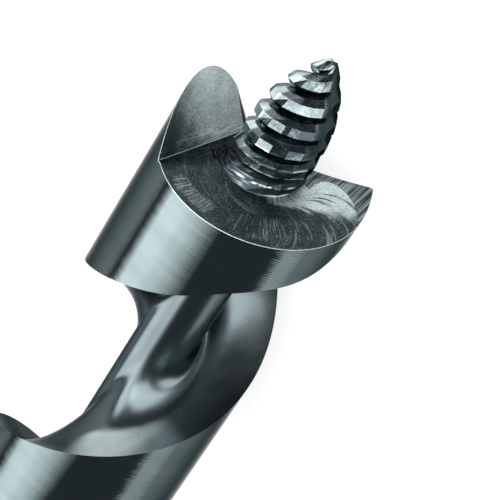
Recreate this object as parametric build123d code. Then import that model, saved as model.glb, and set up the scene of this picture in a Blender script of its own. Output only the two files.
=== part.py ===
from build123d import *
import os
from math import asin, cos, degrees, exp, radians, sin, sqrt

# Auger bit for wood, one steel piece: hexagon shank, round neck, single flute, head with one
# spur and one cutting lip, and a double-start lead screw. Modelled upright about the Z axis with
# the rim of the end face at height 0, then laid on its side. Millimetres and degrees.
# Angles about the axis are counted from -Y towards +X, the way the flute climbs.

# Overall sizes
bit_diameter = 20.0
overall_length = 235.0
head_to_tip = 15.0
shank_length = 40.0
neck_length = 26.0
shoulder_length = 8.0

# Flute
flute_pitch = 38.0
flute_width = 21.2
core_diameter = 4.5
flute_upper_corner_radius = 3.6
flute_lower_corner_radius = 3.4
flute_height_at_front = -29.2
runout_turn = 170.0
runout_depth_in_shoulder = 3.4
runout_clearance = 0.6
section_step = 24.0
# How far the flute's outline reaches past the outside diameter, from its corner's end as 1
tool_reach = 1.3

# Mouth of the flute, between the spur and the lip, which the flute climbs to ever more steeply
mouth_offset = 4.6
mouth_corner_radius = 1.6
mouth_full_angle = 82.0
mouth_last_angle = 222.0
climb_first_angle = -20.0
climb_last_angle = 201.5
climb_height = 7.9
climb_power = 2.6

# Lower edge of the head: hollowed behind and in front, and lower under the lip.
# Each hollow is its middle angle, its spread and its height.
head_edge_hollows = ((-150.0, 75.0, 1.9), (18.0, 18.0, 0.5))
lip_thickening = 1.0
lip_thickening_angle = 30.0
lip_thickening_turn = 40.0

# End face: one flat that falls away to the front, and a steeper one behind the lip
face_centre_height = 2.25
face_slope = 0.235
face_low_angle = -27.0
relief_centre_height = 2.38
relief_slope_x = 0.102
relief_slope_y = 0.382

# Spur and the groove inside it
spur_angle = -108.4
spur_chord_distance = 6.2
spur_slope = 1.632
groove_slope = 0.34

# Lead screw
screw_crest_diameter = 7.6
screw_straight_height = 6.0
screw_point_diameter = 1.0
screw_nose_power = 2.3
screw_lead = 4.4
screw_starts = 2
screw_seat = 2.0
screw_flare_width = 1.4
screw_flare_height = 1.3
screw_base_share = 0.5
thread_depth = 1.1
thread_first_angle = 14.0
thread_first_height = 2.0
thread_start_length = 2.2
thread_end_length = 1.5
thread_step = 22.5

# Shank
hex_across_flats = 11.1
neck_diameter = 12.6
shank_chamfer = 1.2

# Where the turned blank's own seam line lies, clear of the flute's mouth
blank_seam_angle = 40.0

# The side that faces up as the bit lies, which is the side away from its centre of mass
side_up = 0.0

radius = bit_diameter / 2
top = head_to_tip
bottom = head_to_tip - overall_length
neck_top = bottom + shank_length + neck_length
shoulder_top = neck_top + shoulder_length
rise = flute_pitch / 360


def smooth(value):
    """Ease from 0 to 1 as value goes from 0 to 1."""
    value = min(1.0, max(0.0, value))
    return value * value * (3 - 2 * value)


def direction(angle):
    """Unit vector at an angle about the axis."""
    return Vector(sin(radians(angle)), -cos(radians(angle)), 0)


def offset_at(angle):
    """Distance of the flute's cutting plane from the axis: it turns tangent to the screw root."""
    return mouth_offset * smooth(angle / mouth_full_angle)


def edge_angle(angle):
    """Angle at which the cutting plane of the given direction leaves the outside diameter."""
    return angle + degrees(asin(offset_at(angle) / radius))


def lower_edge(angle):
    """Height of the flute's lower edge on the outside diameter, steeper towards the mouth."""
    share = max(0.0, angle - climb_first_angle) / (climb_last_angle - climb_first_angle)
    return flute_height_at_front + rise * angle + climb_height * share**climb_power


def upper_edge(angle):
    """Height of the flute's upper edge on the outside diameter."""
    height = lower_edge(angle) + flute_width
    for middle, spread, rise_there in head_edge_hollows:
        height += rise_there * exp(-(((angle - middle) / spread) ** 2))
    return height - lip_thickening * smooth((angle - lip_thickening_angle) / lip_thickening_turn)


def blend(first, last, share):
    """Value between first and last."""
    return first + (last - first) * share


def flute_section(angle, first_angle):
    """Closed outline of the flute in the cutting plane of one direction."""
    turn = edge_angle(angle)
    low = lower_edge(turn)
    high = upper_edge(turn)
    mouth = smooth(angle / mouth_full_angle)
    runout = 1 - smooth((angle - first_angle) / runout_turn)
    rim = sqrt(radius**2 - offset_at(angle) ** 2)
    floor = blend(core_diameter / 2 * (1 - mouth), neck_diameter / 2 + runout_clearance, runout)
    shallow = min(1.0, (rim - floor) / (radius - core_diameter / 2))
    lower = blend(flute_lower_corner_radius, mouth_corner_radius, mouth) * shallow
    upper = blend(flute_upper_corner_radius, mouth_corner_radius, mouth) * shallow
    lower_out = blend(floor + lower, rim, tool_reach)
    upper_out = blend(floor + upper, rim, tool_reach)
    inset = 1 - cos(radians(45))
    lower_middle = (floor + lower * inset, low + lower * inset)
    upper_middle = (floor + upper * inset, high - upper * inset)
    edges = [
        Line((lower_out, low), (floor + lower, low)),
        ThreePointArc((floor + lower, low), lower_middle, (floor, low + lower)),
        Line((floor, low + lower), (floor, high - upper)),
        ThreePointArc((floor, high - upper), upper_middle, (floor + upper, high)),
        Line((floor + upper, high), (upper_out, high)),
        Line((upper_out, high), (lower_out, low)),
    ]
    plane = Plane(
        origin=direction(angle + 90) * offset_at(angle),
        x_dir=direction(angle),
        z_dir=-direction(angle + 90),
    )
    return plane.from_local_coords(Wire(edges))


def flute():
    """The whole flute as a solid tool, from its run-out in the neck to its mouth in the head."""
    first = (shoulder_top - runout_depth_in_shoulder - flute_height_at_front - flute_width) / rise
    count = round((mouth_last_angle - first) / section_step)
    angles = [first + (mouth_last_angle - first) * i / count for i in range(count + 1)]
    return Solid.make_loft([flute_section(angle, first) for angle in angles])


def blank():
    """Turned blank: neck, shoulder, full diameter up to above the spur."""
    outline = Polyline(
        (0, neck_top - neck_length - 1),
        (neck_diameter / 2, neck_top - neck_length - 1),
        (neck_diameter / 2, neck_top),
        (radius, shoulder_top),
        (radius, top),
        (0, top),
        close=True,
    )
    turned = revolve(Plane.XZ * make_face(outline), Axis.Z)
    return Rot(0, 0, blank_seam_angle) * turned


def tilted_box(height, slope_x, slope_y, reach):
    """Everything above the plane z = height + slope_x x + slope_y y, as a large box."""
    normal = Vector(-slope_x, -slope_y, 1)
    plane = Plane(origin=(0, 0, height), x_dir=(1, 0, slope_x), z_dir=normal)
    return plane * Box(reach, reach, reach, align=(Align.CENTER, Align.CENTER, Align.MIN))


def face_cutter():
    """What the end face and the lip's relief take off the blank, up to the spur's foot."""
    low = direction(face_low_angle)
    above_face = tilted_box(face_centre_height, -face_slope * low.X, -face_slope * low.Y, 6 * radius)
    above_relief = tilted_box(relief_centre_height, relief_slope_x, relief_slope_y, 6 * radius)
    outward = direction(spur_angle)
    inner = Plane(origin=outward * spur_chord_distance, x_dir=direction(spur_angle + 90), z_dir=-outward)
    inside = inner * Box(6 * radius, 6 * radius, 3 * radius, align=(Align.CENTER, Align.CENTER, Align.MIN))
    return above_face & above_relief & inside


def spur_cutter():
    """The groove ground across the end face along the foot of the spur."""
    plane = Plane(origin=(0, 0, 0), x_dir=direction(spur_angle), z_dir=-direction(spur_angle + 90))
    reach = 1.5 * radius
    outline = Polyline(
        (0, groove_slope * spur_chord_distance),
        (spur_chord_distance, 0),
        (reach, spur_slope * (reach - spur_chord_distance)),
        (reach, 3 * radius),
        (0, 3 * radius),
        close=True,
    )
    return extrude(plane * make_face(outline), 3 * radius, both=True)


def screw_radius(height):
    """Radius over the lead screw's crests: straight at first, then drawn in to the point."""
    share = max(0.0, (height - screw_straight_height) / (head_to_tip - screw_straight_height))
    taper = (screw_crest_diameter - screw_point_diameter) / 2
    return screw_crest_diameter / 2 - taper * share**screw_nose_power


def screw_section(height):
    """Outline across the lead screw: one arc for each start, meeting at the thread's roots."""
    crest = screw_radius(height)
    start = smooth((height - thread_first_height) / thread_start_length)
    finish = smooth((head_to_tip - height) / thread_end_length)
    root = crest - thread_depth * start * finish
    flare = screw_flare_width * exp(-max(0.0, height) / screw_flare_height)
    crest += flare
    root += flare - thread_depth * (1 - start) * screw_base_share
    crest -= thread_depth * (1 - start) * screw_base_share
    angle = thread_first_angle + height / screw_lead * 360
    arc_angle = 360 / screw_starts
    arcs = []
    for start_number in range(screw_starts):
        middle = angle + arc_angle * start_number
        arcs.append(
            ThreePointArc(
                direction(middle - arc_angle / 2) * root + Vector(0, 0, height),
                direction(middle) * crest + Vector(0, 0, height),
                direction(middle + arc_angle / 2) * root + Vector(0, 0, height),
            )
        )
    return Wire(arcs)


def lead_screw():
    """The double-start screw that draws the bit in, from inside the head to its point."""
    count = round((head_to_tip + screw_seat) / screw_lead * 360 / thread_step)
    heights = [-screw_seat + (head_to_tip + screw_seat) * i / count for i in range(count + 1)]
    return Solid.make_loft([screw_section(height) for height in heights])


def shank():
    """Hexagon shank with a turned chamfer at its end."""
    hexagon = extrude(RegularPolygon(hex_across_flats / 2, 6, major_radius=False), shank_length + 1)
    corner = hex_across_flats / 2 / cos(radians(30))
    outline = Polyline(
        (0, 0),
        (corner - shank_chamfer, 0),
        (corner + 0.1, shank_chamfer + 0.1),
        (corner + 0.1, shank_length + 1),
        (0, shank_length + 1),
        close=True,
    )
    turned = revolve(Plane.XZ * make_face(outline), Axis.Z)
    return Pos(0, 0, bottom) * (hexagon & turned)


def auger_bit():
    """The whole bit as one solid, standing on its shank about the Z axis."""
    head = blank() - face_cutter() - spur_cutter()
    return head - flute() + lead_screw() + shank()


def laid_down(bit):
    """The bit on its side: point towards +X, the given side up, origin in the middle underneath."""
    level = Rot(0, 90, 0) * Rot(0, 0, -90 - side_up) * bit
    return Pos(overall_length / 2 - head_to_tip, 0, radius) * level


if __name__ == "__main__":
    os.makedirs("parts", exist_ok=True)
    export_step(laid_down(auger_bit()), "parts/auger_bit.step")
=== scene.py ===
"""Auger bit for wood on a pale floor: twisted body, lead screw, raw edges, finishes, lamps and camera."""

import functools
import logging
import math
from dataclasses import dataclass, field
from enum import Enum

import bmesh
import bpy
import numpy as np
from mathutils import Matrix, Vector


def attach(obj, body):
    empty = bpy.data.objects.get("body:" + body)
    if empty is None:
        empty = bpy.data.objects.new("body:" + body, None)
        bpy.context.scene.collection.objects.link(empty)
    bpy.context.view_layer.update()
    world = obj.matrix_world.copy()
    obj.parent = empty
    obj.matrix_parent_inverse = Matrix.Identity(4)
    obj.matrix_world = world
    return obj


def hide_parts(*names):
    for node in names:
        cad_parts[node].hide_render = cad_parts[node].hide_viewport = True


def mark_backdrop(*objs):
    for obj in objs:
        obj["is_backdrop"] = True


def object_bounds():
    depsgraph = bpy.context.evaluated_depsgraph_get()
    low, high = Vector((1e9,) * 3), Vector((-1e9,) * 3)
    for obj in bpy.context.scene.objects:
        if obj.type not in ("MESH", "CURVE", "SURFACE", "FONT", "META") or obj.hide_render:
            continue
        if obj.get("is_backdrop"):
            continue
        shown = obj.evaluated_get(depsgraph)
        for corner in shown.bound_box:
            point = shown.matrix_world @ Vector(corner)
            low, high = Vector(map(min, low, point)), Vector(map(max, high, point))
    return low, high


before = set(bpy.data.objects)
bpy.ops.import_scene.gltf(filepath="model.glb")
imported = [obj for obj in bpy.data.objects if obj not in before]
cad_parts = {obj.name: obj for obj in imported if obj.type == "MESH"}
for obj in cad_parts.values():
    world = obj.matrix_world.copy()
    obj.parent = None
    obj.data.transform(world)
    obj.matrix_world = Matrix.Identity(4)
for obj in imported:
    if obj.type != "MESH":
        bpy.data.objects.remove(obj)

CAD_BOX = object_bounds()
LOG = logging.getLogger("auger_bit")
Number = "Field | float"
Shape = bpy.types.NodeSocket
Tone = tuple[float, float, float]
Span = tuple[float, float]
Window = tuple[float, float, float]
Place = tuple[float, float, float]

# Edge of the cutting blocks in millimetres, well past the bit on every side.
BLOCK = 60.0
# Share of its true width that the visual model keeps, so that rounding never takes it past the CAD box.
SNUG = 0.99999


def extent(axis: int) -> float:
    """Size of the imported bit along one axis, to a hundredth of a millimetre, which takes up its facets."""
    low, high = CAD_BOX
    return round((high[axis] - low[axis]) * 1000, 2)


class Operation(Enum):
    """How solids are combined in a node tree."""

    CUT = "DIFFERENCE"
    COMMON = "INTERSECT"
    JOIN = "UNION"


class Zone(Enum):
    """The ground, milled and turned surfaces of the bit, each with a finish of its own."""

    LAND = "ground_land"
    FLUTE = "milled_flute"
    FACE = "ground_end_face"
    RELIEF = "filed_relief"
    SPUR = "blasted_spur"
    SCREW = "rolled_screw"
    SHANK = "drawn_shank"
    BURR = "bright_burr"


class Field:
    """A number in a node tree, on which plain arithmetic adds Math nodes."""

    def __init__(self, tree: bpy.types.NodeTree, socket: bpy.types.NodeSocket) -> None:
        """Wrap one output socket of the tree."""
        self.tree = tree
        self.socket = socket

    def math(self, operation: str, *others: Number, clamp: bool = False) -> "Field":
        """Add one Math node.

        Args:
            operation: the node's operation.
            others: the further inputs, fields or plain numbers.
            clamp: whether the result is held between 0 and 1.

        Returns:
            The node's result.
        """
        node = self.tree.nodes.new("ShaderNodeMath")
        node.operation = operation
        node.use_clamp = clamp
        self.tree.links.new(self.socket, node.inputs[0])
        for place, other in enumerate(others, 1):
            if isinstance(other, Field):
                self.tree.links.new(other.socket, node.inputs[place])
            else:
                node.inputs[place].default_value = other
        return Field(self.tree, node.outputs[0])

    def __add__(self, other: Number) -> "Field":
        """Sum."""
        return self.math("ADD", other)

    __radd__ = __add__

    def __sub__(self, other: Number) -> "Field":
        """Difference."""
        return self.math("SUBTRACT", other)

    def __rsub__(self, other: float) -> "Field":
        """Difference from a plain number."""
        return self * -1.0 + other

    def __mul__(self, other: Number) -> "Field":
        """Product."""
        return self.math("MULTIPLY", other)

    __rmul__ = __mul__

    def __truediv__(self, other: Number) -> "Field":
        """Quotient."""
        return self.math("DIVIDE", other)

    def __pow__(self, other: Number) -> "Field":
        """Power."""
        return self.math("POWER", other)

    def least(self, other: Number) -> "Field":
        """The smaller of two."""
        return self.math("MINIMUM", other)

    def most(self, other: Number) -> "Field":
        """The larger of two."""
        return self.math("MAXIMUM", other)

    def share(self) -> "Field":
        """The value held between 0 and 1."""
        return self.math("ADD", 0.0, clamp=True)

    def smooth(self) -> "Field":
        """Ease from 0 to 1 as the value goes from 0 to 1."""
        part = self.share()
        return part * part * (3.0 - part * 2.0)

    def sin(self) -> "Field":
        """Sine of an angle in degrees."""
        return self.math("RADIANS").math("SINE")

    def cos(self) -> "Field":
        """Cosine of an angle in degrees."""
        return self.math("RADIANS").math("COSINE")

    def bell(self, middle: float, spread: float) -> "Field":
        """A smooth hump of height 1 at the middle."""
        away = (self - middle) / spread
        return (away * away * -1.0).math("EXPONENT")

    def swing(self, amount: float) -> "Field":
        """How far the value is from a half, times an amount."""
        return (self - 0.5) * amount

    def above(self, other: Number) -> "Field":
        """One where the value is over the other, and 0 elsewhere."""
        return self.math("GREATER_THAN", other)


def blend(first: Number, last: Number, share: Field) -> Field:
    """Value between first and last."""
    return share * (last - first) + first


class NodeTree:
    """A tree of nodes, with short calls that add to it."""

    def __init__(self, tree: bpy.types.NodeTree) -> None:
        """Take up a tree."""
        self.tree = tree

    def node(self, kind: str, **links: object) -> bpy.types.Node:
        """Add a node and feed its inputs.

        Args:
            kind: the node's type.
            links: input names, with _ for a space, and sockets, fields or plain values.

        Returns:
            The node.
        """
        node = self.tree.nodes.new(kind)
        for name, value in links.items():
            target = node.inputs[name.replace("_", " ")]
            if isinstance(value, Field):
                value = value.socket
            if isinstance(value, bpy.types.NodeSocket):
                self.tree.links.new(value, target)
            else:
                target.default_value = value
        return node

    def vector(self, x: Number, y: Number, z: Number) -> Shape:
        """Three numbers as one vector."""
        return self.node("ShaderNodeCombineXYZ", X=x, Y=y, Z=z).outputs[0]

    def parts(self, vector: Shape) -> tuple[Field, Field, Field]:
        """The three numbers of a vector."""
        apart = self.node("ShaderNodeSeparateXYZ", Vector=vector)
        return tuple(Field(self.tree, part) for part in apart.outputs)


class ShapeTree(NodeTree):
    """A Geometry Nodes tree with named sizes, written as formulas in the bit's own millimetres.

    The bit's own frame stands it on its shank: z towards the point, 0 at the head's rim,
    and angles about z from -y towards x.
    """

    def __init__(self, name: str) -> None:
        """Start an empty tree with one geometry output."""
        super().__init__(bpy.data.node_groups.new(name, "GeometryNodeTree"))
        self.tree.interface.new_socket("Geometry", in_out="OUTPUT", socket_type="NodeSocketGeometry")
        self.inputs = self.tree.nodes.new("NodeGroupInput")
        self.sizes: dict[str, float] = {}

    def size(self, name: str, value: float) -> Field:
        """Add a named input.

        Args:
            name: what the size is, in plain words.
            value: its value, in millimetres, degrees or a plain share.

        Returns:
            The input as a field.
        """
        self.tree.interface.new_socket(name, in_out="INPUT", socket_type="NodeSocketFloat")
        self.sizes[name] = value
        return Field(self.tree, self.inputs.outputs[name])

    def noise(self, place: Shape, scale: float, detail: float) -> Field:
        """Soft noise about a half at a place."""
        node = self.node("ShaderNodeTexNoise", Scale=scale, Detail=detail, Vector=place)
        return Field(self.tree, node.outputs[0])

    def place(self) -> tuple[Field, Field, Field]:
        """Where each point is."""
        return self.parts(self.node("GeometryNodeInputPosition").outputs[0])

    def sheet(self, across: int, along: int) -> tuple[Shape, Field, Field]:
        """Add a grid of points to be placed by formulas.

        Args:
            across: steps in the first direction.
            along: steps in the second direction.

        Returns:
            The grid, and each point's count of steps in both directions.
        """
        grid = self.node("GeometryNodeMeshGrid", Size_X=float(across), Size_Y=float(along))
        grid.inputs["Vertices X"].default_value = across + 1
        grid.inputs["Vertices Y"].default_value = along + 1
        x, y, _ = self.place()
        return grid.outputs["Mesh"], x + across / 2, y + along / 2

    def placed(self, shape: Shape, x: Number, y: Number, z: Number) -> Shape:
        """Move every point of a shape to the given place."""
        return self.node("GeometryNodeSetPosition", Geometry=shape, Position=self.vector(x, y, z)).outputs[0]

    def wound(self, sheet: Shape, out: Field, angle: Field, up: Field) -> Shape:
        """Wind a grid round the axis.

        Args:
            sheet: the grid.
            out: each point's distance from the axis.
            angle: its angle about the axis, in degrees.
            up: its height.

        Returns:
            The wound grid.
        """
        return self.placed(sheet, out * angle.sin(), out * angle.cos() * -1.0, up)

    def welded(self, shape: Shape, distance: float = 0.0005) -> Shape:
        """Merge points that coincide."""
        return self.node("GeometryNodeMergeByDistance", Geometry=shape, Distance=distance).outputs[0]

    def dressed(self, shape: Shape, zone: Zone) -> Shape:
        """Give a shape the finish of one zone."""
        finish = bpy.data.materials[zone.value]
        return self.node("GeometryNodeSetMaterial", Geometry=shape, Material=finish).outputs[0]

    def turned_out(self, shape: Shape) -> Shape:
        """Flip the faces of a shape."""
        return self.node("GeometryNodeFlipFaces", Mesh=shape).outputs[0]

    def moved(self, shape: Shape, **links: object) -> Shape:
        """Shift or turn a whole shape by the named Translation and Rotation."""
        return self.node("GeometryNodeTransform", Geometry=shape, **links).outputs[0]

    def facing(self, direction: object) -> Shape:
        """The rotation that turns the upright to a direction."""
        return self.node("FunctionNodeAlignRotationToVector", Vector=direction).outputs[0]

    def block(self, zone: Zone) -> Shape:
        """A large cube about the frame's middle, dressed in one finish."""
        return self.dressed(self.node("GeometryNodeMeshCube", Size=(BLOCK,) * 3).outputs["Mesh"], zone)

    def combined(self, operation: Operation, first: Shape, *others: Shape) -> Shape:
        """Combine solids.

        Args:
            operation: cut, common part or join.
            first: the first solid, which the others are cut from.
            others: the other solids.

        Returns:
            The combined solid.
        """
        node = self.node("GeometryNodeMeshBoolean")
        node.operation = operation.value
        node.solver = "EXACT"
        if operation is Operation.CUT:
            self.tree.links.new(first, node.inputs["Mesh 1"])
        else:
            others = (first, *others)
        for other in reversed(others):
            self.tree.links.new(other, node.inputs["Mesh 2"])
        return node.outputs["Mesh"]

    def side_of(self, height: Number, lean_x: Number, lean_y: Number, zone: Zone) -> Shape:
        """A block filling all that lies over the plane z = height + lean_x x + lean_y y."""
        raised = self.moved(self.block(zone), Translation=(0.0, 0.0, BLOCK / 2))
        turn = self.facing(self.vector(lean_x * -1.0, lean_y * -1.0, 1.0))
        return self.moved(raised, Rotation=turn, Translation=self.vector(0.0, 0.0, height))

    def laid_down(self, shape: Shape, bit: "Bit") -> Shape:
        """Lay a shape down in the shared frame, in metres."""
        x, y, z = self.place()
        across = x * (-0.001 * SNUG)
        height = (bit.radius - y * SNUG) * 0.001
        return self.placed(shape, (z + bit.reach) * 0.001, across, height)

    def finish(self, shape: Shape, zone: Zone | None) -> None:
        """End the tree.

        Args:
            shape: the finished shape.
            zone: the finish of the whole shape, or None to keep those it has.
        """
        whole = self.node("GeometryNodeRealizeInstances", Geometry=shape).outputs[0]
        if zone is None:
            land = bpy.data.materials[Zone.LAND.value]
            kept = self.node("GeometryNodeSetMaterial", Geometry=whole, Selection=False, Material=land)
            whole = kept.outputs[0]
        else:
            whole = self.dressed(whole, zone)
        self.tree.links.new(whole, self.tree.nodes.new("NodeGroupOutput").inputs[0])

    def made(self, name: str) -> bpy.types.Object:
        """Run the tree on an empty object and keep the result as a plain mesh.

        Args:
            name: the new piece's name.

        Returns:
            The piece, at the origin, with no modifier left on it.
        """
        piece = bpy.data.objects.new(name, bpy.data.meshes.new(name))
        bpy.context.collection.objects.link(piece)
        modifier = piece.modifiers.new("shape", "NODES")
        modifier.node_group = self.tree
        for item in self.tree.interface.items_tree:
            if item.in_out == "INPUT":
                modifier[item.identifier] = self.sizes[item.name]
        ready = piece.evaluated_get(bpy.context.evaluated_depsgraph_get())
        mesh = bpy.data.meshes.new_from_object(ready)
        piece.modifiers.remove(modifier)
        piece.data = mesh
        mesh.name = name
        return piece


@dataclass(frozen=True)
class Bit:
    """Sizes that the pieces of the bit share, in millimetres."""

    diameter: float = extent(1)
    length: float = extent(0)
    head_to_tip: float = 15.0
    neck: float = 12.6
    chord: float = 6.2
    spur_angle: float = -108.4
    body: str = "root"
    node: str = "auger_bit"
    slot: str = "polished_steel"

    @property
    def radius(self) -> float:
        """Radius over the land."""
        return self.diameter / 2

    @property
    def reach(self) -> float:
        """Distance from the frame's middle to the head's rim."""
        return self.length / 2 - self.head_to_tip

    @property
    def outward(self) -> Span:
        """Direction from the axis to the middle of the spur, square to its chord."""
        angle = math.radians(self.spur_angle)
        return math.sin(angle), -math.cos(angle)

    def own(self, piece: bpy.types.Object) -> bpy.types.Object:
        """Fasten a finished piece to the bit's body and hide the CAD part that it stands for."""
        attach(piece, self.body)
        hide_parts(self.node)
        return piece


@dataclass
class TwistBody:
    """The head, the fluted body, the neck and the hexagon shank as one piece of steel.

    Sizes are in millimetres, and places round the bit and turns in degrees.
    """

    bit: Bit = field(default_factory=Bit)
    flute_pitch: float = 38.0
    flute_width: float = 21.2
    core: float = 4.5
    upper_corner: float = 3.6
    upper_dish: float = 3.6
    lower_corner: float = 3.4
    lower_dish: float = 3.4
    front_corner: float = 4.5
    front_dish: float = 3.6
    front_place: Span = (-10.0, 55.0)
    front_fill: float = 1.6
    fill_place: Span = (46.0, 30.0)
    wall_dip: float = 1.3
    dip_first: float = -30.0
    dip_turn: float = 40.0
    dip_loss: float = 0.9
    hollows: tuple[tuple[float, float, float], ...] = ((-150.0, 75.0, 1.9), (18.0, 18.0, 0.5))
    height_at_front: float = -29.2
    runout_turn: float = 170.0
    runout_depth: float = 3.4
    runout_clearance: float = 0.6
    tool_reach: float = 1.3
    mouth_offset: float = 4.6
    mouth_corner: float = 1.6
    mouth_full: float = 82.0
    mouth_last: float = 222.0
    climb_first: float = -20.0
    climb_last: float = 201.5
    climb_height: float = 7.9
    climb_power: float = 2.6
    lip_thickening: float = 1.0
    lip_first: float = 30.0
    lip_turn: float = 40.0
    face_height: float = 2.25
    face_lean: Span = (0.1067, 0.2094)
    relief_height: float = 2.38
    relief_lean: Span = (0.102, 0.382)
    spur_slope: float = 1.632
    groove_slope: float = 0.34
    shank_length: float = 40.0
    neck_length: float = 26.0
    shoulder_length: float = 8.0
    across_flats: float = 11.1
    shank_chamfer: float = 1.2
    shank_spare: float = 0.1
    shank_overlap: float = 1.0
    shank_around: int = 96
    around: int = 256
    turn_step: float = 2.5
    outline_steps: int = 12
    crease: float = 28.0
    land_slack: float = 2e-6
    land_facing: float = 0.999

    def __post_init__(self) -> None:
        """Work out the heights that follow from the sizes."""
        self.bottom = self.bit.head_to_tip - self.bit.length
        self.neck_top = self.bottom + self.shank_length + self.neck_length
        self.shoulder_top = self.neck_top + self.shoulder_length
        self.rise = self.flute_pitch / 360
        start = self.shoulder_top - self.runout_depth - self.height_at_front - self.flute_width
        self.first = start / self.rise

    def lower_edge(self, shape: ShapeTree, turn: Field) -> Field:
        """Height of the flute's lower edge on the outside diameter, steeper towards the mouth."""
        climbed = (turn - self.climb_first).most(0.0) / (self.climb_last - self.climb_first)
        pitch = shape.size("flute pitch", self.flute_pitch)
        climb = shape.size("climb at the mouth", self.climb_height)
        return turn * (pitch / 360.0) + self.height_at_front + climbed**self.climb_power * climb

    def upper_edge(self, shape: ShapeTree, turn: Field, low: Field) -> Field:
        """Height of the flute's upper edge on the outside diameter."""
        high = low + shape.size("flute width", self.flute_width)
        for middle, spread, hollow in self.hollows:
            high = high + turn.bell(middle, spread) * hollow
        lip = ((turn - self.lip_first) / self.lip_turn).smooth()
        return high - lip * shape.size("lip thickening", self.lip_thickening)

    def dip(self, shape: ShapeTree, angle: Field, out: Field, floor: Field, rim: Field) -> Field:
        """How deep the flute's lower wall is dished.

        Args:
            shape: the tree it is added to.
            angle: the angle about the axis.
            out: the distance from the axis.
            floor: the flute's inner end, where the dish runs out.
            rim: its outer end, where the dish runs out too.

        Returns:
            The depth, most halfway along the wall and less round the front.
        """
        away = (out - (floor + rim) / 2.0) / ((rim - floor) / 2.0)
        eased = 1.0 - ((angle - self.dip_first) / self.dip_turn).smooth() * self.dip_loss
        return (1.0 - away**2.0).most(0.0) * shape.size("wall dip", self.wall_dip) * eased

    def flute(self, shape: ShapeTree) -> Shape:
        """The flute as a closed tool, from its run-out in the neck to its mouth in the head."""
        radius = self.bit.radius
        rows = round((self.mouth_last - self.first) / self.turn_step)
        sheet, across, along = shape.sheet(6 * self.outline_steps, rows + 2)
        step = across / self.outline_steps
        angle = blend(self.first, self.mouth_last, ((along - 1.0) / rows).share())
        open_end = along.least(rows + 2.0 - along).share()

        mouth = (angle / self.mouth_full).smooth()
        runout = 1.0 - ((angle - self.first) / shape.size("run-out turn", self.runout_turn)).smooth()
        offset = mouth * shape.size("mouth offset", self.mouth_offset)
        turn = angle + (offset / radius).math("ARCSINE").math("DEGREES")
        low = self.lower_edge(shape, turn)
        high = self.upper_edge(shape, turn, low)
        rim = (radius**2 - offset * offset).math("SQRT")
        core = shape.size("core diameter", self.core) / 2.0
        floor = blend((1.0 - mouth) * core, self.bit.neck / 2 + self.runout_clearance, runout)
        shallow = ((rim - floor) / (radius - core)).least(1.0)
        front = angle.bell(*self.front_place)
        corners = (
            shape.size("lower corner height", self.lower_corner) + front * self.front_corner,
            shape.size("upper corner height", self.upper_corner),
            shape.size("lower dish", self.lower_dish) + front * self.front_dish,
            shape.size("upper dish", self.upper_dish),
        )
        eased = (blend(size, self.mouth_corner, mouth) * shallow for size in corners)
        lower, upper, lower_dish, upper_dish = eased
        floor = floor + angle.bell(*self.fill_place) * shape.size("front fill", self.front_fill)
        lower_out = (floor + lower_dish).most(rim) + shape.size("tool reach", self.tool_reach)
        upper_out = (floor + upper_dish).most(rim) + self.tool_reach

        wall, bend, back, turn_out, roof, shut = ((step - place).share() for place in range(6))
        out = lower_out + (floor + lower_dish - lower_out) * wall - lower_dish * (bend * 90.0).sin()
        out = out + upper_dish * (1.0 - (turn_out * 90.0).cos()) + (upper_out - floor - upper_dish) * roof
        out = out + (lower_out - upper_out) * shut
        dip = self.dip(shape, angle, out, floor, rim) * shallow * (1.0 - mouth) * (1.0 - bend.smooth())
        up = low + lower * (1.0 - (bend * 90.0).cos()) + (high - upper - low - lower) * back - dip
        up = up + upper * (turn_out * 90.0).sin() - (high - low) * shut
        out = blend(floor + upper, out, open_end)
        up = blend((low + high) / 2.0, up, open_end)
        x = out * angle.sin() + offset * angle.cos()
        y = offset * angle.sin() - out * angle.cos()
        return shape.dressed(shape.welded(shape.placed(sheet, x, y, up)), Zone.FLUTE)

    def blank(self, shape: ShapeTree) -> Shape:
        """The turned blank: neck, shoulder and full diameter up to over the spur."""
        radius = self.bit.radius
        neck = self.bit.neck / 2
        sheet, around, row = shape.sheet(self.around, 5)
        foot, side, cone, land, lid = ((row - place).share() for place in range(5))
        out = foot * neck + cone * (radius - neck) - lid * radius
        up = side * self.neck_length + cone * self.shoulder_length
        up = up + land * (self.bit.head_to_tip - self.shoulder_top) + (self.neck_top - self.neck_length)
        turned = shape.wound(sheet, out, around * (360 / self.around), up)
        return shape.dressed(shape.welded(turned), Zone.LAND)

    def chord_block(self, shape: ShapeTree) -> Shape:
        """A block filling all that lies inside the spur's chord."""
        outward = Vector((*self.bit.outward, 0.0))
        middle = tuple(outward * (self.bit.chord - BLOCK / 2))
        turn = shape.facing(tuple(outward))
        return shape.moved(shape.block(Zone.SPUR), Rotation=turn, Translation=middle)

    def face_tool(self, shape: ShapeTree) -> Shape:
        """What the end face and the lip's relief take off the blank, up to the spur's foot."""
        face_height = shape.size("face height", self.face_height)
        relief_height = shape.size("relief height", self.relief_height)
        face = shape.side_of(face_height, *self.face_lean, Zone.FACE)
        relief = shape.side_of(relief_height, *self.relief_lean, Zone.RELIEF)
        return shape.combined(Operation.COMMON, face, relief, self.chord_block(shape))

    def spur_tool(self, shape: ShapeTree) -> Shape:
        """What the groove along the spur's foot and the spur's slanting face take off the blank."""
        outward = self.bit.outward
        chord = shape.size("chord distance", self.bit.chord)
        groove = shape.size("groove slope", self.groove_slope)
        slope = shape.size("spur slope", self.spur_slope)
        under = shape.side_of(chord * groove, groove * -outward[0], groove * -outward[1], Zone.FACE)
        slant = shape.side_of(chord * slope * -1.0, slope * outward[0], slope * outward[1], Zone.SPUR)
        return shape.combined(Operation.COMMON, under, slant)

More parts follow.
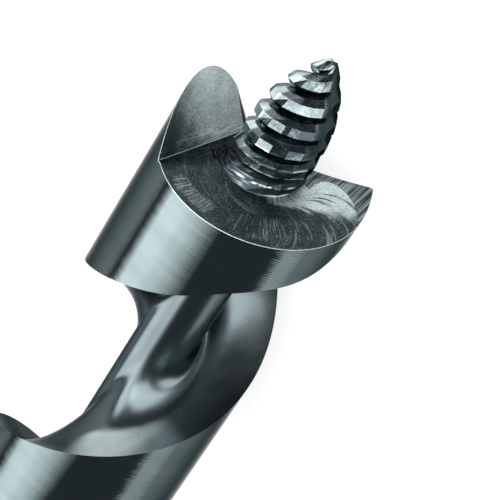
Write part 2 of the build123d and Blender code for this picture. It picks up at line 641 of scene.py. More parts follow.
    def shank(self, shape: ShapeTree) -> Shape:
        """The hexagon shank with a turned chamfer at its end."""
        corner = self.across_flats / 2 / math.cos(math.pi / 6)
        length = self.shank_length + self.shank_overlap
        hexagon = shape.node("GeometryNodeMeshCylinder", Vertices=6, Radius=corner, Depth=length)
        middle = (0.0, 0.0, self.bottom + length / 2)
        stood = shape.moved(hexagon.outputs["Mesh"], Translation=middle, Rotation=(0.0, 0.0, math.pi / 6))
        sheet, around, row = shape.sheet(self.shank_around, 4)
        foot, cone, side, lid = ((row - place).share() for place in range(4))
        chamfer = shape.size("shank chamfer", self.shank_chamfer)
        spare = self.shank_spare
        out = foot * (corner - chamfer) + cone * (chamfer + spare) - lid * (corner + spare)
        up = cone * (chamfer + spare) + side * (length + self.shank_overlap) + self.bottom
        turned = shape.welded(shape.wound(sheet, out, around * (360 / self.shank_around), up))
        return shape.dressed(shape.combined(Operation.COMMON, stood, turned), Zone.SHANK)

    def tree(self) -> ShapeTree:
        """Build the tree that shapes the whole body."""
        shape = ShapeTree("twist_body")
        cut = (self.face_tool(shape), self.spur_tool(shape), self.flute(shape))
        head = shape.combined(Operation.CUT, self.blank(shape), *cut)
        whole = shape.combined(Operation.JOIN, head, self.shank(shape))
        shape.finish(shape.laid_down(whole, self.bit), None)
        return shape

    def build(self) -> bpy.types.Object:
        """Make the body as one closed mesh with true normals on its turned surfaces."""
        piece = self.tree().made("twist_body")
        mesh = piece.data
        mesh.shade_smooth()
        mesh.set_sharp_from_angle(angle=math.radians(self.crease))
        self.true_normals(mesh)
        return self.bit.own(piece)

    def true_normals(self, mesh: bpy.types.Mesh) -> None:
        """Point the normals of the land straight out from the axis, so that long reflections run clean.

        Args:
            mesh: the body's mesh, in metres.
        """
        radius = self.bit.radius / 1000
        points = np.empty(len(mesh.vertices) * 3, dtype=np.float32)
        mesh.vertices.foreach_get("co", points)
        points = points.reshape(-1, 3)
        normals = np.empty(len(mesh.loops) * 3, dtype=np.float32)
        mesh.corner_normals.foreach_get("vector", normals)
        normals = normals.reshape(-1, 3)
        corner = np.empty(len(mesh.loops), dtype=np.int32)
        mesh.loops.foreach_get("vertex_index", corner)
        at = points[corner]
        out = at * (0.0, 1.0, 1.0) - (0.0, 0.0, radius)
        length = np.linalg.norm(out, axis=1, keepdims=True)
        out = out / np.maximum(length, 1e-9)
        near = np.abs(length[:, 0] - radius) < self.land_slack
        land = near & ((out * normals).sum(axis=1) > self.land_facing)
        normals[land] = out[land]
        mesh.normals_split_custom_set(normals.tolist())


@dataclass
class LeadScrew:
    """The two-start screw, rolled with broad crests that show as rows of small flats."""

    bit: Bit = field(default_factory=Bit)
    crest: float = 7.6
    straight: float = 6.0
    point: float = 1.0
    nose_power: float = 2.3
    lead: float = 4.4
    seat: float = 2.0
    flare_width: float = 2.6
    flare_height: float = 1.15
    base_share: float = 0.5
    depth: float = 1.25
    first_angle: float = 14.0
    first_height: float = 2.0
    start_length: float = 2.2
    end_length: float = 1.5
    flats: int = 16
    profile: tuple[float, ...] = (-1.0, -0.8, -0.45, 0.3, 0.72, 1.0)
    fullness: tuple[float, ...] = (0.0, 0.62, 1.0, 1.0, 0.6, 0.0)
    unevenness: float = 0.05
    swell_grain: float = 0.9
    seed: float = 3.0
    weld: float = 0.004
    sliver: float = 1e-7
    end_slack: float = 0.001

    def ridge(self, shape: ShapeTree, start: int) -> Shape:
        """One thread from valley to valley, as a strip of flats wound up the tapering core.

        Args:
            shape: the tree it is added to.
            start: which of the two threads it is.

        Returns:
            The strip.
        """
        step = 360 / self.flats
        turns = (self.bit.head_to_tip + self.seat) / self.lead + 1.5
        rows = round(turns * self.flats)
        columns = len(self.profile) - 1
        sheet, column, row = shape.sheet(columns, rows)
        angle = row * step - (self.seat / self.lead + 0.5) * 360
        pieces = [(column - place).share() for place in range(columns)]
        rise = pieces[0] * 0.0 + self.profile[0]
        full = pieces[0] * 0.0 + self.fullness[0]
        for place, piece in enumerate(pieces):
            rise = rise + piece * (self.profile[place + 1] - self.profile[place])
            full = full + piece * (self.fullness[place + 1] - self.fullness[place])
        lead = shape.size("lead" if start == 0 else "lead of second start", self.lead)
        loose = (angle - self.first_angle - 180.0 * start) / 360.0 * lead + rise * (self.lead / 4)
        height = loose.least(self.bit.head_to_tip).most(-self.seat)
        past_foot = height.above(self.end_slack - self.seat)
        past_tip = height.above(self.bit.head_to_tip - self.end_slack)
        out = self.radius(height, full) * (past_foot * (1.0 - past_tip))
        return shape.wound(sheet, out, angle, height)

    def radius(self, height: Field, full: Field) -> Field:
        """Radius at a height, between the thread's root where full is 0 and its crest where it is 1."""
        tall = self.bit.head_to_tip
        nose = ((height - self.straight) / (tall - self.straight)).most(0.0)
        crest = self.crest / 2 - nose**self.nose_power * ((self.crest - self.point) / 2)
        begun = ((height - self.first_height) / self.start_length).smooth()
        ended = ((tall - height) / self.end_length).smooth()
        root = crest - begun * ended * self.depth
        flare = ((height.most(0.0) / -self.flare_height).math("EXPONENT")) * self.flare_width
        settled = (1.0 - begun) * (self.depth * self.base_share)
        return blend(root, crest, full) + flare - settled

    def build(self) -> bpy.types.Object:
        """Make the screw as one closed mesh of flats, uneven as rolled steel is."""
        shape = ShapeTree("lead_screw")
        join = shape.node("GeometryNodeJoinGeometry")
        for start in (1, 0):
            shape.tree.links.new(self.ridge(shape, start), join.inputs[0])
        screw = shape.welded(join.outputs[0], self.weld)
        x, y, z = shape.place()
        noise = shape.noise(shape.vector(x + self.seed, y, z), self.swell_grain, detail=1.0)
        swell = noise.swing(2 * self.unevenness) + 1.0
        screw = shape.placed(screw, x * swell, y * swell, z)
        shape.finish(shape.laid_down(shape.turned_out(screw), self.bit), Zone.SCREW)
        piece = shape.made("lead_screw")
        work = bmesh.new()
        work.from_mesh(piece.data)
        bmesh.ops.dissolve_degenerate(work, dist=self.sliver, edges=work.edges)
        bmesh.ops.recalc_face_normals(work, faces=work.faces)
        work.to_mesh(piece.data)
        work.free()
        return self.bit.own(piece)


@dataclass
class RawEdges:
    """The thin burr left by grinding along the head's edges, coloured light as a painted edge highlight."""

    bit: Bit = field(default_factory=Bit)
    thickness: float = 0.042
    thin_share: float = 0.30
    thinnest: float = 0.05
    swell: float = 3.0
    least_angle: float = 0.75
    lowest: float = -0.6
    rim_depth: float = 0.2
    chord_reach: float = 0.5
    step: float = 0.12
    grain: float = 2600.0
    sides: int = 5

    def chosen(self, shape: ShapeTree) -> Field:
        """Which edges of the body get the bead: sharp ones of the head, along its rim and its chord."""
        bend = Field(shape.tree, shape.node("GeometryNodeInputMeshEdgeAngle").outputs["Unsigned Angle"])
        along, across, height = shape.place()
        side = across * -1000.0
        depth = height * -1000.0 + self.bit.radius
        rim = (side * side + depth * depth).math("SQRT").above(self.bit.radius - self.rim_depth)
        outward = self.bit.outward
        chord = (side * outward[0] + depth * outward[1] - self.bit.chord).math("ABSOLUTE") * -1.0
        high = along.above((self.bit.reach + self.lowest) / 1000) * rim.most(chord.above(-self.chord_reach))
        return bend.above(shape.size("least bend of an edge", self.least_angle)) * high

    def build(self, body: bpy.types.Object) -> bpy.types.Object:
        """Run an uneven bead along every sharp edge of the head.

        Args:
            body: the body whose edges it follows.

        Returns:
            The bead as one piece.
        """
        shape = ShapeTree("raw_edges")
        info = shape.node("GeometryNodeObjectInfo")
        info.inputs["Object"].default_value = body
        head = info.outputs["Geometry"]
        line = shape.node("GeometryNodeMeshToCurve", Mesh=head, Selection=self.chosen(shape))
        evened = shape.node("GeometryNodeResampleCurve", Curve=line.outputs[0])
        evened.mode = "LENGTH"
        evened.inputs["Length"].default_value = self.step / 1000
        noise = shape.noise(shape.node("GeometryNodeInputPosition").outputs[0], self.grain, detail=2.0)
        thick = (noise - self.thin_share).most(self.thinnest) * self.swell
        bead = shape.node("GeometryNodeSetCurveRadius", Curve=evened.outputs[0], Radius=thick).outputs[0]
        width = shape.size("thickness", self.thickness) * 0.001
        ring = shape.node("GeometryNodeCurvePrimitiveCircle", Radius=width, Resolution=self.sides).outputs[0]
        tube = shape.node("GeometryNodeCurveToMesh", Curve=bead, Profile_Curve=ring, Fill_Caps=True)
        x, y, z = shape.place()
        radius = self.bit.radius / 1000
        up = z - radius
        out = (y * y + up * up).math("SQRT")
        held = (out.least(radius) / out).least(1.0)
        shape.finish(shape.placed(tube.outputs[0], x, y * held, up * held + radius), Zone.BURR)
        piece = shape.made("raw_edges")
        piece.data.shade_smooth()
        return self.bit.own(piece)


@dataclass(frozen=True)
class SoftBox:
    """One soft lamp facing the bit.

    Its direction is the one from the bit, its width and height are in metres, and a level of 1 is white.
    """

    name: str
    towards: Place
    size: Span
    level: float


@dataclass
class Studio:
    """The pale floor, the soft lamps, the surrounding light and the camera."""

    floor_size: float = 12.0
    floor_white: float = 0.65
    floor_grey: float = 0.9
    floor_roughness: float = 0.95
    floor_segments: int = 96
    around: Tone = (0.165, 0.19, 0.22)
    lamp_distance: float = 2.0
    key_level: float = 6.6
    key_width: float = 3.0
    key_aside: float = -0.1
    key_first: float = 74.0
    key_last: tuple[float, ...] = (46.0, 33.0, 24.0, 17.0, 9.0)
    boxes: tuple[SoftBox, ...] = (
        SoftBox("side_soft_box", (-0.53, -0.83, 0.18), (1.6, 0.72), 2.2),
        SoftBox("nose_soft_box", (0.45, -0.62, 0.64), (1.2, 0.9), 5.5),
        SoftBox("fill_soft_box", (0.48, 0.10, 0.85), (1.7, 1.6), 6.2),
    )
    lens: float = 142.86
    sensor: float = 36.0
    nearest: float = 0.001
    stand: Place = (0.191982, -0.002904, 0.168740)
    lean: float = 31.0
    turn: float = -57.0239

    def floor(self) -> bpy.types.Object:
        """Lay the floor."""
        mesh = bpy.data.meshes.new("floor")
        work = bmesh.new()
        bmesh.ops.create_circle(work, cap_ends=True, segments=self.floor_segments, radius=self.floor_size / 2)
        work.to_mesh(mesh)
        work.free()
        floor = bpy.data.objects.new("floor", mesh)
        bpy.context.collection.objects.link(floor)
        mesh.materials.append(self.floor_finish())
        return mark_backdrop(floor)

    def floor_finish(self) -> bpy.types.Material:
        """Pale paper that the camera and the metal both see as white, with the bit's soft shadow kept."""
        material = bpy.data.materials.new("white_paper")
        material.use_nodes = True
        look = NodeTree(material.node_tree)
        tree = look.tree
        paper = tree.nodes["Principled BSDF"]
        paper.inputs["Base Color"].default_value = (*(self.floor_grey,) * 3, 1.0)
        paper.inputs["Roughness"].default_value = self.floor_roughness
        paper.inputs["Specular IOR Level"].default_value = 0.0
        glow = look.node("ShaderNodeEmission", Strength=1.0)
        path = look.node("ShaderNodeLightPath")
        rays = (Field(tree, path.outputs[f"Is {kind} Ray"]) for kind in ("Camera", "Glossy", "Transmission"))
        seen = functools.reduce(Field.most, rays) * self.floor_white
        mix = look.node("ShaderNodeMixShader")
        for target, source in zip(mix.inputs, (seen.socket, paper.outputs[0], glow.outputs[0])):
            tree.links.new(source, target)
        tree.links.new(mix.outputs[0], tree.nodes["Material Output"].inputs[0])
        return material

    def lamp(self, box: SoftBox) -> bpy.types.Object:
        """Hang one soft box facing the bit."""
        width, height = box.size
        data = bpy.data.lights.new(box.name, "AREA")
        data.shape = "RECTANGLE"
        data.size, data.size_y = width, height
        data.energy = box.level * math.pi * width * height
        lamp = bpy.data.objects.new(box.name, data)
        bpy.context.collection.objects.link(lamp)
        out = Vector(box.towards).normalized()
        side = (Vector((1, 0, 0)) - out * out.x).normalized()
        lamp.matrix_world = self.pose(side, out.cross(side), out, out * self.lamp_distance)
        lamp.visible_camera = False
        return lamp

    def key(self) -> None:
        """Hang the main soft box, whose face fades out towards its upper edge."""
        for step, last in enumerate(self.key_last):
            middle = math.radians((self.key_first + last) / 2)
            tall = 2 * self.lamp_distance * math.tan(math.radians((self.key_first - last) / 2))
            towards = (self.key_aside, math.sin(middle), math.cos(middle))
            level = self.key_level / len(self.key_last)
            self.lamp(SoftBox(f"key_soft_box_{step}", towards, (self.key_width, tall), level))

    @staticmethod
    def pose(side: Vector, up: Vector, back: Vector, at: Vector) -> Matrix:
        """The transform with these three axes and this place."""
        turned = Matrix((side, up, back)).transposed().to_4x4()
        return Matrix.Translation(at) @ turned

    def surroundings(self) -> None:
        """Light the room all round, dimly."""
        world = bpy.data.worlds.new("studio")
        world.use_nodes = True
        world.node_tree.nodes["Background"].inputs[0].default_value = (*self.around, 1.0)
        bpy.context.scene.world = world

    def camera(self) -> bpy.types.Object:
        """Set the camera at the photograph's viewing angle.

        From looking straight down it leans back along the bit, and then turns on its own axis,
        both in degrees.
        """
        data = bpy.data.cameras.new("camera")
        data.lens = self.lens
        data.sensor_width = self.sensor
        data.clip_start = self.nearest
        camera = bpy.data.objects.new("camera", data)
        bpy.context.collection.objects.link(camera)
        lean = Matrix.Rotation(math.radians(self.lean), 4, "Y")
        turn = Matrix.Rotation(math.radians(self.turn), 4, "Z")
        camera.matrix_world = Matrix.Translation(self.stand) @ lean @ turn
        bpy.context.scene.camera = camera
        return camera

    def build(self) -> None:
        """Set up floor, lamps, surroundings and camera."""
        self.floor()
        self.surroundings()
        self.key()
        for box in self.boxes:
            self.lamp(box)
        self.camera()
        bpy.context.scene.view_settings.view_transform = "Standard"


class SurfaceTree(NodeTree):
    """The node tree of one material, with short calls for patterns in the bit's own millimetres.

    Object coordinates are turned back into the bit's own frame: z towards the point from the
    head's rim, and angles about z from -y, the upper side as it lies, towards x.
    """

    def __init__(self, name: str, bit: Bit) -> None:
        """Start a metal material and read where each point is."""
        self.material = bpy.data.materials.new(name)
        self.material.use_nodes = True
        super().__init__(self.material.node_tree)
        self.shader = self.tree.nodes["Principled BSDF"]
        along, across, up = self.parts(self.node("ShaderNodeTexCoord").outputs["Object"])
        self.x = across * -1000.0
        self.y = bit.radius - up * 1000.0
        self.z = along * 1000.0 - bit.reach
        self.angle = self.x.math("ARCTAN2", self.y * -1.0).math("DEGREES")
        self.out = (self.x * self.x + self.y * self.y).math("SQRT")
        self.heights: list[tuple[Field, float]] = []
        self.leaning: Shape | None = None

    def noise(self, x: Number, y: Number, z: Number, detail: float = 2.0, rough: float = 0.5) -> Field:
        """Soft noise about 0.5 at these coordinates, whose scale sets its grain."""
        place = self.vector(x, y, z)
        node = self.node("ShaderNodeTexNoise", Scale=1.0, Detail=detail, Roughness=rough, Vector=place)
        return Field(self.tree, node.outputs[0])

    def grain(
        self, size: float, detail: float = 2.0, rough: float = 0.5, length: float | None = None
    ) -> Field:
        """Soft noise all through the metal.

        Args:
            size: the size of one grain, in millimetres.
            detail: how much finer grain is added.
            rough: how strong the finer grain is.
            length: the grain's length along the bit, where it isn't its size.

        Returns:
            The noise, about a half.
        """
        return self.noise(self.x / size, self.y / size, self.z / (length or size), detail, rough)

    def streaks(
        self, across: Field, along: Field, width: float, length: float, seed: float, sharp: float = 5.0
    ) -> Field:
        """Fine scratches, 0 between them and 1 on them.

        Args:
            across: coordinate across the scratches, in millimetres.
            along: coordinate along them.
            width: how far apart they lie.
            length: how long they are.
            seed: where in the noise they are taken.
            sharp: how thin and contrasty they are.

        Returns:
            The scratches.
        """
        grain = self.noise(across / width, along / length, seed, detail=1.5, rough=0.6)
        return ((grain - 0.5) * sharp - 0.35).share()

    def window(self, value: Field, low: float, high: float, soft: float) -> Field:
        """One between low and high, fading to 0 over the given softness."""
        rising = ((value - low) / soft + 0.5).smooth()
        return rising * (1.0 - ((value - high) / soft + 0.5).smooth())

    def lean(self, amount: Field) -> None:
        """Turn the surface a little about the bit's axis, as if each ground ring lay at its own slant.

        Args:
            amount: how far, as a share of the upright.
        """
        facing = self.node("ShaderNodeNewGeometry").outputs["Normal"]
        across = self.vector_math("CROSS_PRODUCT", self.vector(1.0, 0.0, 0.0), facing)
        sideways = self.vector_math("SCALE", across, Scale=amount.socket)
        self.leaning = self.vector_math("NORMALIZE", self.vector_math("ADD", facing, sideways))

    def vector_math(self, operation: str, *vectors: Shape, **named: Shape) -> Shape:
        """Add one Vector Math node.

        Args:
            operation: the node's operation.
            vectors: the sockets joined to its first inputs.
            named: the sockets joined to inputs by name.

        Returns:
            The node's result.
        """
        node = self.tree.nodes.new("ShaderNodeVectorMath")
        node.operation = operation
        for place, socket in (*enumerate(vectors), *named.items()):
            self.tree.links.new(socket, node.inputs[place])
        return node.outputs[0]

    def bump(self, height: Field, depth: float) -> None:
        """Add a relief to the surface.

        Args:
            height: its shape, 0 to 1.
            depth: its depth, in millimetres.
        """
        self.heights.append((height, depth / 1000))

    def tone(self, dark: Tone, light: Tone, share: Field) -> None:
        """Colour the metal between a dark and a light tone."""
        mix = self.tree.nodes.new("ShaderNodeMix")
        mix.data_type = "RGBA"
        mix.inputs["A"].default_value = (*dark, 1.0)
        mix.inputs["B"].default_value = (*light, 1.0)
        self.tree.links.new(share.share().socket, mix.inputs["Factor"])
        self.tree.links.new(mix.outputs["Result"], self.shader.inputs["Base Color"])

    def roughness(self, value: Field) -> None:
        """Set how blurred reflections are."""
        self.tree.links.new(value.least(1.0).most(0.04).socket, self.shader.inputs["Roughness"])

    def build(self, edge: float = 0.32) -> bpy.types.Material:
        """Join the reliefs into the shader and end the material.

        Args:
            edge: how bright the metal stays at a glancing view.

        Returns:
            The material.
        """
        self.shader.inputs["Metallic"].default_value = 1.0
        self.shader.inputs["Specular Tint"].default_value = (edge, edge, edge, 1.0)
        normal = self.leaning
        for height, depth in self.heights:
            node = self.node("ShaderNodeBump", Strength=1.0, Distance=depth, Height=height)
            if normal is not None:
                self.tree.links.new(normal, node.inputs["Normal"])
            normal = node.outputs[0]
        if normal is not None:
            self.tree.links.new(normal, self.shader.inputs["Normal"])
        return self.material


@dataclass(frozen=True)
class Steel:
    """Tones of the darkened steel."""

    deep: Tone = (0.025, 0.035, 0.040)
    dark: Tone = (0.068, 0.086, 0.088)
    light: Tone = (0.102, 0.125, 0.126)
    # Tone of the raw edges, lightened as a painted edge highlight.
    bare_and_highlit: Tone = (0.32, 0.38, 0.385)
    bright: Tone = (0.67, 0.78, 0.78)


@dataclass(frozen=True)
class LandFinish:
    """The outside diameter, ground between centres: fine rings that fray the edges of its reflections."""

    steel: Steel = field(default_factory=Steel)
    ring_spacing: float = 0.23
    ring_drift: float = 2.5
    fray: float = 0.06
    comb: float = 0.26
    comb_width: float = 0.24
    comb_length: float = 6.0
    polish: float = 0.07

    def build(self, bit: Bit) -> bpy.types.Material:
        """Make the material."""
        look = SurfaceTree(Zone.LAND.value, bit)
        along = look.angle * (math.pi / 180 * bit.radius)
        drift = look.noise(look.z / 1.1, along / 6.0, 1.7, detail=1.0)
        rings = ((look.z / self.ring_spacing + drift * self.ring_drift) * 360.0).sin() * 0.28 + 0.5
        uneven = look.noise(look.z / self.comb_width, along / self.comb_length, 8.3, detail=1.0)
        look.lean(rings.swing(1.0) * uneven * self.comb + uneven.swing(self.comb * 0.25))
        coarse = look.noise(look.z / 1.9, along / 14.0, 6.1, detail=2.0)
        teeth = (rings.swing(3.2) + 0.5).share()
        look.roughness(teeth * self.fray + self.polish + coarse.swing(0.04))
        look.tone(self.steel.dark, self.steel.light, coarse.swing(0.8) + 0.4 + rings.swing(0.2))
        return look.build()


@dataclass(frozen=True)
class FluteFinish:
    """The milled flute: softer reflections, a few specks, and a painted highlight, a brighter patch low on
    each turn.
    """

    steel: Steel = field(default_factory=Steel)
    body: TwistBody = field(default_factory=TwistBody)
    blur: float = 0.17
    lowest: float = -9.6
    # The sizes below place a painted highlight low on each turn of the flute.
    highlight_heights: Window = (7.0, 9.7, 0.6)
    highlight_angle: float = 20.0
    highlight_cosine: float = 0.84
    highlight_out: float = 5.9
    highlight_tone: float = 0.44
    tone: float = 0.07
    speck_limit: float = 0.79

    def painted_highlight(self, look: SurfaceTree, cloud: Field) -> Field:
        """Where a highlight is painted on the flute's lower corner, once on each turn."""
        pitch = self.body.flute_pitch
        level = look.z - look.angle * self.body.rise
        level = level - ((level - self.lowest) / pitch).math("FLOOR") * pitch
        facing = ((look.angle - self.highlight_angle).cos() - self.highlight_cosine) * 9.0
        outer = ((look.out - self.highlight_out + cloud.swing(0.8)) / 0.9).smooth()
        return facing.smooth() * outer * look.window(level, *self.highlight_heights)

    def build(self, bit: Bit) -> bpy.types.Material:
        """Make the material."""
        look = SurfaceTree(Zone.FLUTE.value, bit)
        cloud = look.grain(2.5, detail=3.0, length=5.0)
        grain = look.grain(0.10)
        specks = ((look.grain(0.35, detail=0.0) - self.speck_limit) * 22.0).share()
        share = cloud.swing(0.06) + self.tone + specks * 0.04
        # Painted highlight: a lighter colour low on each turn of the flute, where its corner catches the
        # light.
        share = blend(share, cloud.swing(0.2) + self.highlight_tone, self.painted_highlight(look, cloud))
        look.tone(self.steel.deep, self.steel.bright, share)
        look.roughness(cloud * 0.12 + self.blur + grain * 0.05)
        look.bump(grain, 0.0012)
        look.bump(specks, 0.004)
        return look.build()


@dataclass(frozen=True)
class FaceFinish:
    """The end face and the lip's relief, ground by hand.

    A fan of arcs spreads from the screw, with a painted highlight, a bright petal, within it. Round the fan
    lie a coil of scratches about the screw, a lens-shaped scored patch, rays at the rim and a filed strip.
    Angles are in degrees about the axis, distances in millimetres, and each window is its first
    and last value and its softness.
    """

    zone: Zone = Zone.FACE
    steel: Steel = field(default_factory=Steel)
    fan_place: float = 8.0
    fan_radius: float = 3.5
    fan_window: Window = (4.0, 90.0, 12.0)
    petal_first: float = 12.0
    petal_last: float = 89.0
    petal_middle: float = 5.0
    petal_lean: float = 4.5
    petal_start: float = 5.1
    petal_turn: float = 36.0
    petal_growth: float = 0.125
    coil_angles: Window = (-112.0, -4.0, 24.0)
    coil_reach: Window = (3.4, 8.2, 0.8)
    lens_outer: float = 6.2
    lens_inner: float = 4.15
    lens_angles: Window = (-30.0, 14.0, 6.0)
    lens_end: float = 17.0
    lens_bend: Span = (0.00787, 0.000585)
    lens_swell: Span = (2.05, 10.0)
    lens_depth: float = 1.2
    lens_edge: float = 0.15
    line_angles: Window = (-34.0, 16.0, 6.0)
    line_width: float = 0.05
    patch_angles: Window = (-44.0, -14.0, 4.0)
    patch_reach: Window = (7.8, 9.4, 0.4)
    front_angles: Window = (2.0, 40.0, 14.0)
    front_reach: Window = (6.4, 9.2, 0.8)
    filed_rows: Window = (-3.0, 9.0, 0.2)
    file_lean: float = 0.2
    file_width: float = 0.18
    file_length: float = 7.0
    depth: float = 0.014

    def fan(self, look: SurfaceTree) -> Field:
        """Which arc of the fan a point lies on, as the angle of that arc's centre about the axis."""
        beyond = self.fan_place**2 - self.fan_radius**2
        spread = (look.out * look.out + beyond) / (look.out * (2 * self.fan_place))
        return look.angle - spread.least(1.0).math("ARCCOSINE").math("DEGREES")

    def petal(self, look: SurfaceTree, fan: Field) -> Field:
        """The part of the fan up to its last arc, with a soft edge."""
        last = self.petal_last - (look.out - self.petal_middle) * self.petal_lean
        return ((last - fan) / 2.5 + 0.5).smooth()

    def glow(self, look: SurfaceTree, fan: Field, cloud: Field) -> Field:
        """The petal's painted highlight, from the screw's foot outwards as far as its ragged limit."""
        limit = (fan - self.petal_turn) * self.petal_growth + self.petal_start
        inside = ((limit - look.out + cloud.swing(2.2)) / 1.8 + 0.5).smooth()
        return self.petal(look, fan) * inside * ((fan - self.petal_first) / 14.0).smooth()

    def scratches(
        self, look: SurfaceTree, fan: Field, arcs: Field, grain: Field, cloud: Field
    ) -> tuple[Field, Field, Field]:
        """The grinder's scratches.

        Args:
            look: the material's tree.
            fan: which arc of the fan a point lies on.
            arcs: the fan's scratches.
            grain: fine noise, which breaks the lines.
            cloud: broad noise, which frays the patch.

        Returns:
            All scratches together, the hatched patch at the rim, and the lens beside the screw.
        """
        round_axis = look.angle * (math.pi / 180 * 6.0)
        spiral = look.out - look.angle * 0.025
        spiral = look.streaks(spiral, round_axis, width=0.15, length=4.0, seed=2.1, sharp=8.0)
        coil = look.window(look.angle, *self.coil_angles) * look.window(look.out, *self.coil_reach)
        back = self.lens_end - look.angle
        slope, curve = self.lens_bend
        swell, fade = self.lens_swell
        outer = look.out - self.lens_outer + back * slope + back * back * curve
        inner = look.out - self.lens_inner - (back / -fade).math("EXPONENT") * swell
        lines = outer.bell(0.0, self.line_width).most(inner.bell(0.0, self.line_width) * 0.4)
        lines = lines * look.window(look.angle, *self.line_angles) * ((grain - 0.4) * 6.0).share()
        lens = look.window(outer, -self.lens_depth, 0.0, self.lens_edge)
        lens = lens * look.window(inner, 0.0, self.lens_depth, self.lens_edge)
        lens = lens * look.window(look.angle, *self.lens_angles)

        rays = look.streaks(round_axis * 1.4, look.out, width=0.15, length=2.6, seed=8.4, sharp=8.0)
        patch = look.window(look.angle, *self.patch_angles)
        patch = patch * look.window(look.out + cloud.swing(1.2), *self.patch_reach)
        front = look.window(look.angle, *self.front_angles) * look.window(look.out, *self.front_reach)
        swept = look.window(fan, *self.fan_window) * self.petal(look, fan)

        scored = (spiral * (coil * 0.22 + lens * 0.6)).most(rays * patch).most(rays * front * 0.55)
        return scored.most(arcs * swept * 0.5).most(lines), patch, lens

    def build(self, bit: Bit) -> bpy.types.Material:
        """Make the material."""
        look = SurfaceTree(self.zone.value, bit)
        grain = look.grain(0.16, rough=0.8)
        cloud = look.noise(look.x / 1.5, look.y / 1.5, 3.3, detail=2.0)
        speckle = (grain.swing(6.0) - 0.5).share()
        fan = self.fan(look)
        arcs = look.streaks(fan / 2.0, look.out / 1.2, width=1.0, length=2.2, seed=5.5, sharp=6.0)
        gaps = look.streaks(fan / 3.4, look.out / 2.0, width=1.0, length=2.0, seed=9.1, sharp=9.0)
        # The petal's glow is a painted highlight: the end face is lightened where it catches the light.
        glow = self.glow(look, fan, cloud)
        scored, patch, lens = self.scratches(look, fan, arcs, grain, cloud)
        # Mostly the petal's painted highlight, with small lighter tints for the hatched patch, the lens and
        # the cloud.
        painted_shine = glow * (0.62 - gaps * 0.50 - arcs * 0.20) + patch * 0.08 + lens * 0.02 + cloud.swing(0.14)
        ground = grain.swing(1.0) * (glow * 0.8 + 0.55) + speckle * 0.10 + scored * 0.36 + painted_shine

        across = (look.x - look.y * self.file_lean) / self.file_width
        files = look.noise(across, look.y / self.file_length, 4.4, detail=1.5)
        teeth = (files.swing(5.0) + 0.4).share()
        filed = (1.0 - self.petal(look, fan)) * look.window(look.y, *self.filed_rows)
        strip = teeth * 0.27 + speckle * 0.12 + cloud.swing(0.10) + 0.02
        look.tone(self.steel.deep, self.steel.bright, blend(ground, strip, filed))
        look.roughness(grain.swing(0.5) + 0.44)
        look.bump(grain, self.depth)
        look.bump(blend(scored, teeth, filed), self.depth)
        return look.build()


@dataclass(frozen=True)
class SpurFinish:
    """The inner face of the spur: matt and grainy, lighter towards its tip, streaked along the chord."""

    steel: Steel = field(default_factory=Steel)
    tone: float = 0.26
    tip_tone: float = 0.28
    side_loss: float = 0.42
    brushed_band: Window = (6.0, 6.9, 0.25)
    brushed_tone: float = 0.3
    depth: float = 0.014

    def build(self, bit: Bit) -> bpy.types.Material:
        """Make the material."""
        look = SurfaceTree(Zone.SPUR.value, bit)
        across, along = bit.outward
        outward = look.x * across + look.y * along
        sideways = look.x * along - look.y * across
        grain = look.grain(0.16, detail=3.0, rough=0.7, length=0.22)
        brushed = look.noise(sideways / 1.6, look.z / 0.16, 7.7, detail=2.0)
        cloud = look.grain(1.6, length=2.0)
        height = ((look.z - 0.5) / 6.0).share()
        foot = look.window(outward, *self.brushed_band) * ((brushed - 0.45) * 5.0).share()
        far = ((sideways + 0.5) / -5.0).share()
        share = grain.swing(1.3) + cloud.swing(0.35) + self.tone + height * self.tip_tone
        look.tone(self.steel.dark, self.steel.bright, share - far * self.side_loss + foot * self.brushed_tone)
        look.roughness(grain.swing(0.25) + 0.46)
        look.bump(grain, self.depth)
        look.bump(brushed, 0.006)
        return look.build()


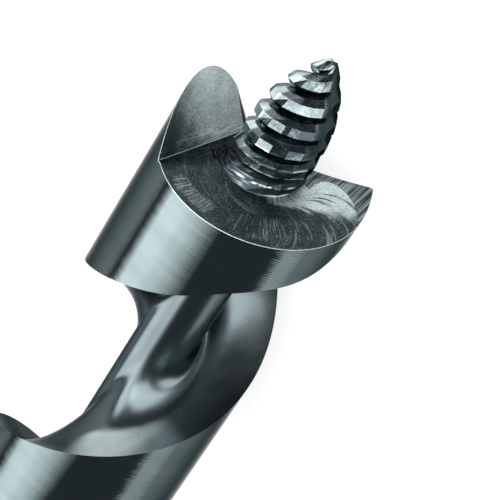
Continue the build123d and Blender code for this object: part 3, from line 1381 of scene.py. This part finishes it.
@dataclass(frozen=True)
class ScrewFinish:
    """The rolled screw: black valleys, scuffed crest edges, painted highlights on single flats and down its
    left side, painted shade on its right, grinder marks round its foot.
    """

    steel: Steel = field(default_factory=Steel)
    thread: LeadScrew = field(default_factory=LeadScrew)
    foot_height: float = 3.4
    turned_angles: Window = (-130.0, -10.0, 30.0)
    # Angles of the painted highlight down the screw's left side.
    sheen_angles: Window = (-150.0, -50.0, 10.0)
    shaded_angles: Window = (44.0, 175.0, 16.0)
    flat: Span = (-0.5, 0.34)
    edge_heights: Window = (1.9, 6.0, 0.6)
    edge_angles: Window = (-32.0, 62.0, 16.0)
    # Heights and angles of the single flats that get a painted highlight.
    glinting_flats: tuple[tuple[Window, Window], ...] = (
        ((7.8, 9.8, 0.1), (3.0, 38.9, 0.6)),
        ((5.6, 7.6, 0.1), (16.4, 38.9, 0.6)),
    )
    glancing: float = 0.08

    def phase(self, look: SurfaceTree) -> Field:
        """Height over the middle of the nearest crest."""
        apart = self.thread.lead / 2
        height = look.z - (look.angle - self.thread.first_angle) * (self.thread.lead / 360)
        return height - (height / apart + 0.5).math("FLOOR") * apart

    def wear_and_glints(self, look: SurfaceTree, cloud: Field) -> Field:
        """Bright scuffs along the lower crests' edges, and painted highlights on single flats of the upper
        ones.
        """
        phase = self.phase(look)
        low, high = self.flat
        edges = phase.bell(low, 0.09).most(phase.bell(high, 0.08)) * look.window(look.z, *self.edge_heights)
        edges = edges * look.window(look.angle, *self.edge_angles) * ((cloud - 0.36) * 7.0).share()
        flat = look.window(phase, low, high, 0.04) * (cloud.swing(0.6) + 1.0)
        wear_and_glints = edges * 0.8
        # Painted highlights: single flats of the upper crests are lightened.
        for heights, angles in self.glinting_flats:
            wear_and_glints = wear_and_glints + flat * look.window(look.z, *heights) * look.window(look.angle, *angles)
        return wear_and_glints

    def build(self, bit: Bit) -> bpy.types.Material:
        """Make the material."""
        look = SurfaceTree(Zone.SCREW.value, bit)
        grain = look.grain(0.20, detail=3.0, rough=0.65)
        cloud = look.grain(0.9)
        arc = look.angle * (math.pi / 180)
        foot = 1.0 - ((look.z - self.foot_height) / 1.2).smooth()
        turned = look.streaks(look.z - arc * 0.7, arc, width=0.08, length=0.42, seed=2.9, sharp=9.0) * foot
        # Painted highlight: the screw's left side above its foot is lightened.
        painted_sheen = look.window(look.angle, *self.sheen_angles) * (1.0 - foot)
        shade = look.window(look.angle, *self.shaded_angles) * 0.92
        rolled = ((cloud - 0.40) * 0.30 + grain.swing(0.26) + 0.080) * (1.0 - foot) * (1.0 - shade)
        marks = turned * look.window(look.angle, *self.turned_angles) * 0.24
        share = rolled + marks + self.wear_and_glints(look, cloud) + painted_sheen * (cloud.swing(0.5) + 0.72)
        look.tone(self.steel.deep, self.steel.bright, share)
        look.roughness(grain.swing(2.2).share() * 0.35 + 0.13 + foot * 0.30 + shade * 0.15)
        look.bump(grain, 0.006)
        look.bump(turned, 0.004)
        return look.build(self.glancing)


@dataclass(frozen=True)
class ShankFinish:
    """The hexagon shank, drawn lengthwise, with faint lines along its flats."""

    steel: Steel = field(default_factory=Steel)

    def build(self, bit: Bit) -> bpy.types.Material:
        """Make the material."""
        look = SurfaceTree(Zone.SHANK.value, bit)
        drawn = look.grain(0.16, length=14.0)
        cloud = look.grain(3.0, length=9.0)
        look.tone(self.steel.dark, self.steel.light, drawn.swing(1.6) + cloud)
        look.roughness(drawn * 0.16 + 0.16)
        look.bump(drawn, 0.003)
        return look.build()


@dataclass(frozen=True)
class BurrFinish:
    """The raw edges' exposed metal, lightened as a painted edge highlight."""

    steel: Steel = field(default_factory=Steel)

    def build(self, bit: Bit) -> bpy.types.Material:
        """Make the material."""
        look = SurfaceTree(Zone.BURR.value, bit)
        grain = look.grain(0.12)
        # Painted edge highlight: the burr is coloured far lighter than the steel round it.
        look.tone(self.steel.bare_and_highlit, self.steel.bright, (grain - 0.3) * 2.0)
        look.roughness(grain * 0.3 + 0.3)
        look.bump(grain, 0.01)
        return look.build()


FINISHES = (
    LandFinish(),
    FluteFinish(),
    FaceFinish(),
    FaceFinish(Zone.RELIEF),
    SpurFinish(),
    ScrewFinish(),
    ShankFinish(),
    BurrFinish(),
)


def main() -> None:
    """Build every piece in order and report it."""
    logging.basicConfig(level=logging.INFO, format="%(name)s: %(message)s")
    for finish in FINISHES:
        LOG.info("finish %s", finish.build(Bit()).name)
    body = TwistBody().build()
    for piece in (body, LeadScrew().build(), RawEdges().build(body)):
        LOG.info("%s: %d vertices, %d faces", piece.name, len(piece.data.vertices), len(piece.data.polygons))
    Studio().build()


if __name__ == "__main__":
    main()
